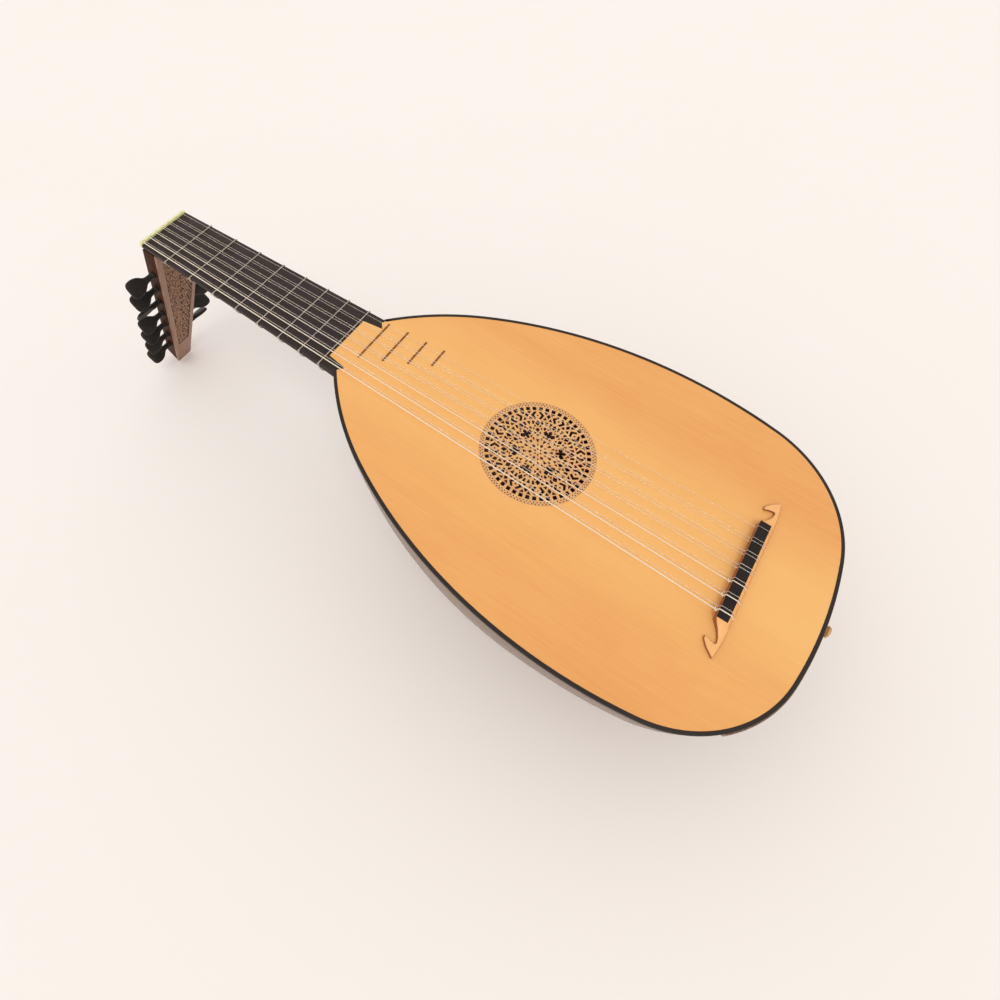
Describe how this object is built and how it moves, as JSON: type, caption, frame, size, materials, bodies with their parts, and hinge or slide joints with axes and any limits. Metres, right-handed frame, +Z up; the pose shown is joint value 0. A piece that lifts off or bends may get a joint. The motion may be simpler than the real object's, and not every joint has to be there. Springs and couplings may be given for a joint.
{
  "type": "renaissance lute",
  "caption": "Lute with a ribbed round back, a carved rose, a bent-back pegbox with turning friction pegs, paired strings and sliding tied frets.",
  "frame": {"origin": "middle of the bounding box at the level that the lute rests on, lying on its back", "axes": "+X from the nut towards the tail, +Y towards the treble side, +Z up, out of the soundboard"},
  "size_m": [0.7872, 0.2896, 0.2449],
  "materials": {
    "spruce": "oiled quarter-sawn softwood, amber",
    "rose_wood": "carved openwork, unpolished",
    "bowl_rib": "satin varnished ribs",
    "walnut": "satin varnish",
    "carved_walnut": "carved relief, oiled",
    "bridge_wood": "satin varnish",
    "block_wood": "bare wood, inside the body",
    "ebony": "polished black wood",
    "ebony_board": "smooth oiled black wood",
    "peg_wood": "polished black wood",
    "bone": "polished bone",
    "gut": "smooth gut",
    "wound_string": "smooth pale bass string",
    "fret_gut": "tied gut",
    "tan_wood": "turned wood"
  },
  "bodies": {
    "root": {"bridge_base": "bridge_wood", "bridge_cap": "ebony", "edging": "ebony", "end_button": "tan_wood", "end_clasp": "walnut", "fingerboard": "ebony_board", "neck": "walnut", "neck_block": "block_wood", "nut": "bone", "pegbox_back": "carved_walnut", "pegbox_cheek_bass": "walnut", "pegbox_cheek_treble": "walnut", "pegbox_end": "walnut", "rib_1": "bowl_rib", "rib_2": "bowl_rib", "rib_3": "bowl_rib", "rib_4": "bowl_rib", "rib_5": "bowl_rib", "rib_6": "bowl_rib", "rib_7": "bowl_rib", "rib_8": "bowl_rib", "rib_9": "bowl_rib", "rose": "rose_wood", "soundboard": "spruce", "string_01": "gut", "string_02": "gut", "string_03": "gut", "string_04": "gut", "string_05": "gut", "string_06": "gut", "string_07": "gut", "string_08": "gut", "string_09": "wound_string", "string_10": "gut", "string_11": "wound_string", "string_12": "gut", "string_13": "wound_string", "tail_block": "block_wood"},
    "peg_01": {"peg_01": "peg_wood"},
    "peg_02": {"peg_02": "peg_wood"},
    "peg_03": {"peg_03": "peg_wood"},
    "peg_04": {"peg_04": "peg_wood"},
    "peg_05": {"peg_05": "peg_wood"},
    "peg_06": {"peg_06": "peg_wood"},
    "peg_07": {"peg_07": "peg_wood"},
    "peg_08": {"peg_08": "peg_wood"},
    "peg_09": {"peg_09": "peg_wood"},
    "peg_10": {"peg_10": "peg_wood"},
    "peg_11": {"peg_11": "peg_wood"},
    "peg_12": {"peg_12": "peg_wood"},
    "peg_13": {"peg_13": "peg_wood"},
    "fret_1": {"fret_1": "fret_gut"},
    "fret_2": {"fret_2": "fret_gut"},
    "fret_3": {"fret_3": "fret_gut"},
    "fret_4": {"fret_4": "fret_gut"},
    "fret_5": {"fret_5": "fret_gut"},
    "fret_6": {"fret_6": "fret_gut"},
    "fret_7": {"fret_7": "fret_gut"},
    "fret_8": {"fret_8": "fret_gut"}
  },
  "joints": [
    {"name": "peg_01_turn", "type": "hinge", "parent": "root", "child": "peg_01", "pos_m": [-0.27992, 0, 0.19915], "axis": [0, -1, 0], "continuous": true},
    {"name": "peg_02_turn", "type": "hinge", "parent": "root", "child": "peg_02", "pos_m": [-0.28731, 0, 0.18632], "axis": [0, 1, 0], "continuous": true},
    {"name": "peg_03_turn", "type": "hinge", "parent": "root", "child": "peg_03", "pos_m": [-0.2947, 0, 0.1735], "axis": [0, -1, 0], "continuous": true},
    {"name": "peg_04_turn", "type": "hinge", "parent": "root", "child": "peg_04", "pos_m": [-0.30209, 0, 0.16068], "axis": [0, 1, 0], "continuous": true},
    {"name": "peg_05_turn", "type": "hinge", "parent": "root", "child": "peg_05", "pos_m": [-0.30948, 0, 0.14785], "axis": [0, -1, 0], "continuous": true},
    {"name": "peg_06_turn", "type": "hinge", "parent": "root", "child": "peg_06", "pos_m": [-0.31687, 0, 0.13503], "axis": [0, 1, 0], "continuous": true},
    {"name": "peg_07_turn", "type": "hinge", "parent": "root", "child": "peg_07", "pos_m": [-0.32426, 0, 0.12221], "axis": [0, -1, 0], "continuous": true},
    {"name": "peg_08_turn", "type": "hinge", "parent": "root", "child": "peg_08", "pos_m": [-0.33165, 0, 0.10938], "axis": [0, 1, 0], "continuous": true},
    {"name": "peg_09_turn", "type": "hinge", "parent": "root", "child": "peg_09", "pos_m": [-0.33904, 0, 0.09656], "axis": [0, -1, 0], "continuous": true},
    {"name": "peg_10_turn", "type": "hinge", "parent": "root", "child": "peg_10", "pos_m": [-0.34642, 0, 0.08374], "axis": [0, 1, 0], "continuous": true},
    {"name": "peg_11_turn", "type": "hinge", "parent": "root", "child": "peg_11", "pos_m": [-0.35381, 0, 0.07091], "axis": [0, -1, 0], "continuous": true},
    {"name": "peg_12_turn", "type": "hinge", "parent": "root", "child": "peg_12", "pos_m": [-0.3612, 0, 0.05809], "axis": [0, 1, 0], "continuous": true},
    {"name": "peg_13_turn", "type": "hinge", "parent": "root", "child": "peg_13", "pos_m": [-0.36859, 0, 0.04527], "axis": [0, -1, 0], "continuous": true},
    {"name": "fret_1_slide", "type": "slide", "parent": "root", "child": "fret_1", "axis": [0.9824, 0, -0.1866], "range_m": [-0.003, 0.003]},
    {"name": "fret_2_slide", "type": "slide", "parent": "root", "child": "fret_2", "axis": [0.9824, 0, -0.1866], "range_m": [-0.003, 0.003]},
    {"name": "fret_3_slide", "type": "slide", "parent": "root", "child": "fret_3", "axis": [0.9824, 0, -0.1866], "range_m": [-0.003, 0.003]},
    {"name": "fret_4_slide", "type": "slide", "parent": "root", "child": "fret_4", "axis": [0.9824, 0, -0.1866], "range_m": [-0.003, 0.003]},
    {"name": "fret_5_slide", "type": "slide", "parent": "root", "child": "fret_5", "axis": [0.9824, 0, -0.1866], "range_m": [-0.003, 0.003]},
    {"name": "fret_6_slide", "type": "slide", "parent": "root", "child": "fret_6", "axis": [0.9824, 0, -0.1866], "range_m": [-0.003, 0.003]},
    {"name": "fret_7_slide", "type": "slide", "parent": "root", "child": "fret_7", "axis": [0.9824, 0, -0.1866], "range_m": [-0.003, 0.003]},
    {"name": "fret_8_slide", "type": "slide", "parent": "root", "child": "fret_8", "axis": [0.9824, 0, -0.1866], "range_m": [-0.003, 0.003]}
  ]
}
